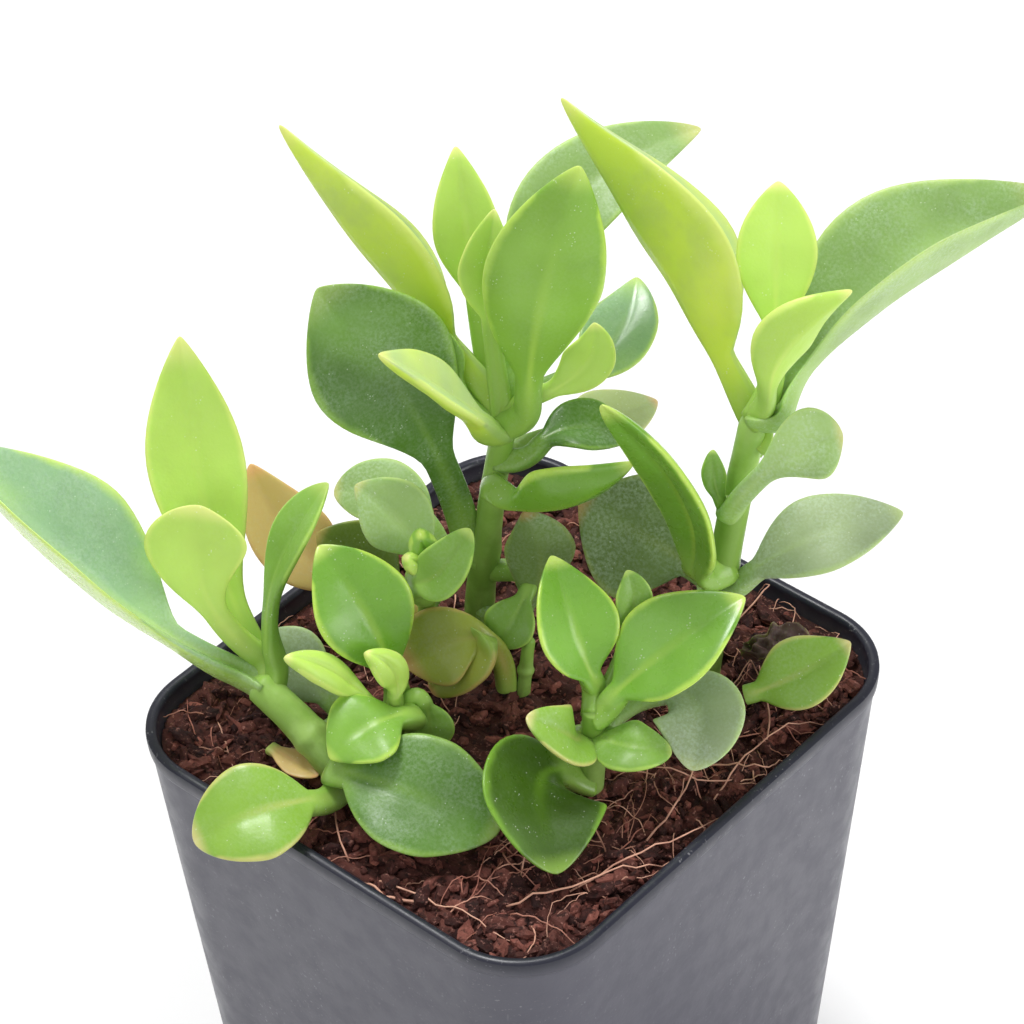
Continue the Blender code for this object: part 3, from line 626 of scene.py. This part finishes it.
def leaf_piece(row, number):
    """A fine leaf from one row of the table."""
    name, *ends, width, looks, fold, thickness, shape, look = row
    start, middle, end = (np.array(p, float) for p in ends)
    looks = np.array(looks, float)
    fold = math.radians(fold)
    clasping = shape[0] < 0.01
    stalk_half = min(2.2, 0.6 + 0.08 * width + (0.14 * width if clasping else 0.0))
    crumple = 1.0 if look == "withered" else 0.0
    points, across, along, upper = [], [], [], []
    line = centreline(name, start, middle, end)
    for (place, heading, share), side in zip(line, side_directions(line, looks)):
        normal = np.cross(side, heading)
        inside = max(0.0, share)
        closing = math.sqrt(max(0.0, 1 - inside**6))
        flare = 1.0 + 0.35 * ease(-share)
        half_width = math.hypot(stalk_half * flare * closing, blade(inside, shape) * width / 2)
        stalkness = ease(1.0 - inside / 0.25)
        half_thick = 0.5 * thickness * closing * (1.0 + 0.7 * stalkness)
        for i in range(AROUND):
            angle = 2 * math.pi * i / AROUND
            a = math.cos(angle)
            swell = math.copysign(abs(math.sin(angle)) ** 0.8, math.sin(angle))
            rise = math.hypot(a, 0.2) - 0.2
            reach = blade(inside, shape)
            if swell > 0:
                groove = 0.34 * reach * half_thick * math.exp(-((a / 0.13) ** 2))
                depth = 0.8 * half_thick * swell - groove
            else:
                keel = 0.22 * reach * half_thick * math.exp(-((a / 0.10) ** 2))
                depth = 1.2 * half_thick * swell - keel
            wave = 0.05 * half_width * ripple(inside * 4, a * 1.2, number * 3.1) * reach
            edge = 1.0 + 0.035 * reach * ripple(inside * 5, math.copysign(2.0, a), number * 1.7)
            lift = wave * (1 + 6 * crumple) + half_width * rise * math.sin(fold)
            lift += crumple * 1.6 * ripple(inside * 7, a * 3, 9.0)
            outward = side * half_width * a * math.cos(fold) * edge
            points.append(place + outward + normal * (lift + depth))
            across.append(a * min(1.0, reach * 1.3 + 0.25))
            along.append(inside)
            upper.append(1.0 if swell > 0 else 0.0)
    rings = len(line)
    first, last = line[0][0], end
    points = [first] + points + [last]
    across = [0.0] + across + [0.0]
    along = [0.0] + along + [1.0]
    upper = [0.5] + upper + [0.5]
    faces = close_ends(tube_faces(rings, AROUND, 1), rings, AROUND, 1)
    material = materials[look]
    piece = add_mesh("fine_" + name, points, faces, material,
                     attributes={"across": across, "along": along, "upper": upper})
    return piece


def stem_piece(row, number):
    """A fine stem from one row of the table: sunk in the soil, with a swollen node."""
    name, path, foot_radius, top_radius = row
    start, middle, end = (np.array(p, float) for p in path)
    start = start - np.array([0, 0, 2.5])
    rings, around = 60, 28
    points, along = [], []
    for ring in range(rings):
        share = ring / (rings - 1)
        place, heading = through(start, middle, end, share)
        radius = foot_radius + (top_radius - foot_radius) * share + 0.15
        radius += 0.25 * math.exp(-(((share - 0.45) / 0.05) ** 2))
        radius *= 1.0 - 0.5 * ease((share - 0.93) / 0.07)
        side = unit(np.cross(heading, (0.67, -0.74, 0.0)))
        other = np.cross(heading, side)
        for i in range(around):
            angle = 2 * math.pi * i / around
            bumpy = 1 + 0.06 * ripple(math.cos(angle), math.sin(angle) + share * 5, number)
            outward = side * math.cos(angle) + other * math.sin(angle)
            points.append(place + outward * radius * bumpy)
            along.append(share)
    points = [start] + points + [end + heading * top_radius * 0.2]
    along = [0.0] + along + [1.0]
    faces = close_ends(tube_faces(rings, around, 1), rings, around, 1)
    piece = add_mesh("fine_" + name, points, faces, materials["stem"], attributes={"along": along})
    return piece


def rounded_outline(half_x, half_y, radius, steps):
    """Points round a rectangle with rounded corners, anticlockwise from +X."""
    outline = []
    for sign_x, sign_y, first in [(1, 1, 0), (-1, 1, 90), (-1, -1, 180), (1, -1, 270)]:
        for step in range(steps):
            angle = math.radians(first + 90 * step / (steps - 1))
            x = sign_x * (half_x - radius) + radius * math.cos(angle)
            y = sign_y * (half_y - radius) + radius * math.sin(angle)
            outline.append((x, y))
    return outline


def pot_ring(height, inset, steps=24):
    """The pot's outline at this height, this far inside the plain outer wall."""
    shrink = (POT_HEIGHT - height) * SIDE_TAPER + LIP + inset
    half_x, half_y = RIM_X / 2 - shrink, RIM_Y / 2 - shrink
    outline = rounded_outline(half_x, half_y, CORNER_RADIUS - LIP - inset, steps)
    return [(x, y, height) for x, y in outline]


def pot_piece():
    """The fine pot: rounded edges all round the rim band and base, and round drain holes."""
    lip = POT_HEIGHT - LIP_HEIGHT
    profile = [
        # base edge, then up the outer wall
        (0.0, 2.5), (0.0, 1.0), (0.25, 0.45), (0.9, 0.1), (1.8, 0.0),
        (20.0, 0.0), (40.0, 0.0), (60.0, 0.0), (lip - 0.1, 0.0),
        # rim band
        (lip + 0.1, -LIP * 0.7), (lip + 0.4, -LIP), (POT_HEIGHT - 0.7, -LIP),
        (POT_HEIGHT - 0.25, -LIP + 0.1), (POT_HEIGHT, 0.15),
        # down the inner wall to the floor
        (POT_HEIGHT, WALL - 0.4), (POT_HEIGHT - 0.25, WALL - 0.08), (POT_HEIGHT - 0.7, WALL),
        (40.0, WALL), (FLOOR + 2.0, WALL), (FLOOR + 0.6, WALL + 0.5), (FLOOR, WALL + 2.0),
    ]
    rings = [pot_ring(height, inset) for height, inset in profile]
    around = len(rings[0])
    points = [point for ring in rings for point in ring]
    faces = tube_faces(len(rings), around)
    faces.append(tuple(range(around))[::-1])
    faces.append(tuple(range(len(points) - around, len(points))))
    pot = add_mesh("fine_pot", points, faces, materials["pot"])
    bm = bmesh.new()
    for sign_x in (-1, 1):
        for sign_y in (-1, 1):
            made = bmesh.ops.create_cone(bm, cap_ends=True, segments=48, radius1=HOLE_RADIUS * MM,
                                         radius2=HOLE_RADIUS * MM, depth=6 * MM)
            bmesh.ops.translate(bm, verts=made["verts"],
                                vec=(sign_x * HOLE_OFFSET * MM, sign_y * HOLE_OFFSET * MM, 0))
    cutter_mesh = bpy.data.meshes.new("drain_cutter")
    bm.to_mesh(cutter_mesh)
    bm.free()
    cutter = bpy.data.objects.new("drain_cutter", cutter_mesh)
    bpy.context.scene.collection.objects.link(cutter)
    cut = pot.modifiers.new("drain_holes", "BOOLEAN")
    cut.object = cutter
    cut.solver = "EXACT"
    graph = bpy.context.evaluated_depsgraph_get()
    drilled = bpy.data.meshes.new_from_object(pot.evaluated_get(graph))
    pot.modifiers.clear()
    pot.data = drilled
    bpy.data.objects.remove(cutter, do_unlink=True)
    drilled.set_sharp_from_angle(angle=math.radians(40))
    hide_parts("pot")
    return pot


def ground(x, y):
    """The height of the fine soil surface."""
    lumps = 0.5 * math.sin(0.31 * x + 1.0) * math.cos(0.27 * y) + 0.3 * math.sin(0.9 * x - 0.7 * y)
    rough = 0.9 * ripple(x * 0.22, y * 0.22, 1.0) + 0.7 * ripple(x * 0.55, y * 0.55, 5.0)
    rough += 0.45 * ripple(x * 1.3, y * 1.3, 9.0) + 0.2 * ripple(x * 2.9, y * 2.9, 13.0)
    return SOIL_TOP - 0.4 + 0.6 * lumps + rough


def soil_piece():
    """The soil body: a dense, rough top over plain sides and bottom that fill the pot."""
    inside = WALL + 0.15
    steps = 60
    rings = [pot_ring(FLOOR + 0.2, inside + 2.0, steps), pot_ring(FLOOR + 2.2, inside, steps),
             pot_ring(SOIL_TOP - 3.0, inside, steps)]
    edge = pot_ring(SOIL_TOP - 1.0, inside, steps)
    levels = 110
    for level in range(levels):
        scale = 1.0 - level / levels
        rings.append([(x * scale, y * scale, ground(x * scale, y * scale)) for x, y, _ in edge])
    points = [point for ring in rings for point in ring] + [(0.0, 0.0, ground(0.0, 0.0))]
    around = len(edge)
    faces = tube_faces(len(rings), around)
    last = (len(rings) - 1) * around
    faces += [(last + i, last + (i + 1) % around, len(points) - 1) for i in range(around)]
    faces.append(tuple(range(around))[::-1])
    # The bed keeps a low tone, so between the crumbs it takes mostly the painted near-black shade
    tone = [0.03 + 0.22 * ease(0.5 + ripple(x * 0.5, y * 0.5, 21.0)) for x, y, _ in points]
    piece = add_mesh("soil_bed", points, faces, materials["soil"], attributes={"tone": tone})
    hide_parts("soil")
    return piece


def scatter_spot(margin=1.2):
    """A random place on the soil."""
    half_x = RIM_X / 2 - WALL - LIP - margin
    half_y = RIM_Y / 2 - WALL - LIP - margin
    while True:
        x, y = random.uniform(-half_x, half_x), random.uniform(-half_y, half_y)
        corner_x = max(0.0, abs(x) - (half_x - CORNER_RADIUS + margin))
        corner_y = max(0.0, abs(y) - (half_y - CORNER_RADIUS + margin))
        if math.hypot(corner_x, corner_y) < CORNER_RADIUS - margin:
            return x, y


def crumb_shapes():
    """A few rough lumps, each as points and triangles, that the crumbs repeat."""
    shapes = []
    for number in range(10):
        bm = bmesh.new()
        bmesh.ops.create_icosphere(bm, subdivisions=2 if number < 5 else 1, radius=1.0)
        for vertex in bm.verts:
            vertex.co *= 1 + 0.55 * noise.noise(vertex.co * 1.4 + Vector((number * 7.0, 0, 0)))
        corners = [tuple(v.co) for v in bm.verts]
        shapes.append((corners, [tuple(v.index for v in f.verts) for f in bm.faces]))
        bm.free()
    return shapes


CRUMB_STRETCH = [(0.8, 1.9), (0.6, 1.0), (0.4, 0.8)]  # least and most along x, y and z


def crumbs_piece(count):
    """Crumbs and chips of coir pith over the soil, as one mesh."""
    shapes = crumb_shapes()
    points, faces, tone = [], [], []
    for _ in range(count):
        x, y = scatter_spot()
        size = random.choice([0.22, 0.3, 0.4, 0.5, 0.7, 1.1])
        size *= random.uniform(0.75, 1.25)
        chosen = random.randrange(0, 5) if size > 0.8 else random.randrange(5, 10)
        shape_points, shape_faces = shapes[chosen]
        turn = Vector((random.gauss(0, 1), random.gauss(0, 1), random.gauss(0, 1)))
        spin = turn.to_track_quat("Z", "Y").to_matrix()
        stretch = Vector([random.uniform(*limits) for limits in CRUMB_STRETCH]) * size
        shade = min(1.0, max(0.0, random.gauss(0.27, 0.28)))
        centre = Vector((x, y, ground(x, y) + 0.15 * size))
        base = len(points)
        for p in shape_points:
            local = Vector((p[0] * stretch.x, p[1] * stretch.y, p[2] * stretch.z))
            points.append(tuple(centre + spin @ local))
            tone.append(shade)
        faces += [tuple(base + i for i in face) for face in shape_faces]
    return add_mesh("coir_crumbs", points, faces, materials["soil"],
                    smooth=False, attributes={"tone": tone})


def hair(points, faces, tone, route, radius, shade):
    """Adds one thin, tapering fibre along a route."""
    around = 5
    base = len(points)
    route = [np.array(p, float) for p in route]
    for i, place in enumerate(route):
        ahead = route[min(i + 1, len(route) - 1)] - route[max(i - 1, 0)]
        heading = unit(ahead)
        side = unit(np.cross(heading, (0.13, 0.21, 0.97)))
        other = np.cross(heading, side)
        thin = radius * (1.0 - 0.6 * i / len(route))
        for j in range(around):
            angle = 2 * math.pi * j / around
            points.append(tuple(place + (side * math.cos(angle) + other * math.sin(angle)) * thin))
            tone.append(shade)
    faces += tube_faces(len(route), around, base)
    last = base + (len(route) - 1) * around
    faces.append(tuple(base + j for j in range(around))[::-1])
    faces.append(tuple(last + j for j in range(around)))


def wandering_route(x, y, turn, length, lift, bend):
    """A fibre's route over the soil: a slow random curl that rises and dips back."""
    steps = 16
    route = []
    phase = random.uniform(0, 6.28)
    for step in range(steps):
        share = step / (steps - 1)
        arch = lift * math.sin(math.pi * share)
        inside_x = max(-RIM_X / 2 + 2.2, min(RIM_X / 2 - 2.2, x))
        inside_y = max(-RIM_Y / 2 + 2.2, min(RIM_Y / 2 - 2.2, y))
        route.append((inside_x, inside_y, ground(inside_x, inside_y) + 0.35 + arch))
        turn += bend * length / steps + 0.06 * math.sin(phase + 4 * share)
        x += math.cos(turn) * length / steps
        y += math.sin(turn) * length / steps
    return route


# Long fibres that stand out: foot x, foot y, direction in degrees, length, lift, bend, radius
LONG_FIBRES = [
    (14, -33, 200, 15, 0.6, 0.00, 0.24), (22, -27, 40, 26, 2.2, 0.02, 0.16),
    (26, -20, 60, 30, 2.6, -0.02, 0.14), (28, -8, 80, 28, 2.4, 0.02, 0.14),
    (30, 2, 95, 24, 2.0, -0.03, 0.13), (24, 6, 20, 18, 1.8, 0.05, 0.14),
    (20, -22, 120, 20, 2.2, -0.05, 0.12), (29, 14, 110, 22, 2.0, 0.03, 0.13),
    (8, -34, 10, 20, 1.0, 0.02, 0.15), (2, -33, 160, 22, 1.4, -0.02, 0.14),
    (-8, -30, 200, 18, 1.6, 0.05, 0.13), (27, -14, 130, 20, 2.8, 0.06, 0.12),
    (31, 8, 250, 26, 2.2, -0.04, 0.12), (12, 28, 60, 16, 2.5, 0.04, 0.12),
    (26, 30, 200, 18, 1.8, 0.06, 0.13), (-30, -20, 100, 16, 1.2, 0.05, 0.12),
]


def fibres_piece(count):
    """Coir hairs over the soil, as one mesh."""
    points, faces, tone = [], [], []
    for x, y, degrees, length, lift, bend, radius in LONG_FIBRES:
        route = wandering_route(x, y, math.radians(degrees), length, lift, bend)
        hair(points, faces, tone, route, radius, random.uniform(0.55, 1.0))
    for _ in range(count):
        x, y = scatter_spot(3.0)
        if random.random() < 0.45:
            x = abs(x) * 0.6 + 12
        length = random.uniform(4, 14)
        route = wandering_route(x, y, random.uniform(0, 6.28), length, random.uniform(0.1, 1.3),
                                random.gauss(0, 0.07))
        hair(points, faces, tone, route, random.uniform(0.05, 0.13), random.uniform(0.1, 1.0))
    return add_mesh("coir_fibres", points, faces, materials["fibre"], attributes={"tone": tone})


FLOOR_HALF, FLOOR_GAP = 3.0, 0.0002  # metres: half the paper's side, and its drop below the base


def add_floor():
    size = FLOOR_HALF
    mesh = bpy.data.meshes.new("floor")
    corners = [(-size, -size, 0), (size, -size, 0), (size, size, 0), (-size, size, 0)]
    mesh.from_pydata(corners, [], [(0, 1, 2, 3)])
    mesh.materials.append(floor_material())
    floor = bpy.data.objects.new("floor", mesh)
    bpy.context.scene.collection.objects.link(floor)
    floor.location.z = -FLOOR_GAP


def add_light(name, place, target, size, watts):
    light = bpy.data.lights.new(name, "AREA")
    light.shape = "DISK"
    light.size = size
    light.energy = watts
    lamp = bpy.data.objects.new(name, light)
    lamp.location = place
    lamp.rotation_euler = (Vector(target) - Vector(place)).to_track_quat("-Z", "Y").to_euler()
    bpy.context.scene.collection.objects.link(lamp)


def add_camera():
    """The camera: azimuth, elevation, roll, distance, and the point it looks at."""
    azimuth, elevation, roll = math.radians(42.33), math.radians(41.29), math.radians(-2.25)
    distance, target = 0.5262, Vector((-0.0223, 0.0254, 0.075))
    level = math.cos(elevation)
    back = Vector((math.sin(azimuth) * level, -math.cos(azimuth) * level, math.sin(elevation)))
    camera = bpy.data.cameras.new("camera")
    camera.lens = 140.6
    camera.sensor_width = 36
    view = bpy.data.objects.new("camera", camera)
    view.location = target + back * distance
    spin = back.to_track_quat("Z", "Y").to_matrix() @ Matrix.Rotation(roll, 3, "Z")
    view.rotation_euler = spin.to_euler()
    bpy.context.scene.collection.objects.link(view)
    bpy.context.scene.camera = view


materials = {look: leaf_material("leaf_" + look, look) for look in LOOKS}
materials["stem"] = stem_material()
materials["soil"] = soil_material()
materials["fibre"] = fibre_material()
materials["pot"] = pot_material()

for number, row in enumerate(LEAVES + SMALL_LEAVES):
    piece = leaf_piece(row, number)
    if row in LEAVES:
        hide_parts(row[0])
for number, row in enumerate(STEMS + SMALL_STEMS):
    piece = stem_piece(row, number)
    if row in STEMS:
        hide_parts(row[0])
pot_piece()
soil_piece()
crumbs_piece(6000)
fibres_piece(190)

add_floor()
add_camera()
world = bpy.data.worlds.new("studio")
world.use_nodes = True
world.node_tree.nodes["Background"].inputs["Color"].default_value = (1.0, 1.0, 1.0, 1.0)
world.node_tree.nodes["Background"].inputs["Strength"].default_value = 0.55
bpy.context.scene.world = world
bpy.context.scene.view_settings.view_transform = "Standard"
add_light("key", (-0.25, 0.10, 0.80), (0, 0, 0.09), 0.28, 4.2)
add_light("fill", (0.75, 0.20, 0.35), (0, 0, 0.06), 0.5, 2.4)
add_light("front", (0.15, -0.80, 0.70), (0, 0, 0.09), 0.6, 0.9)
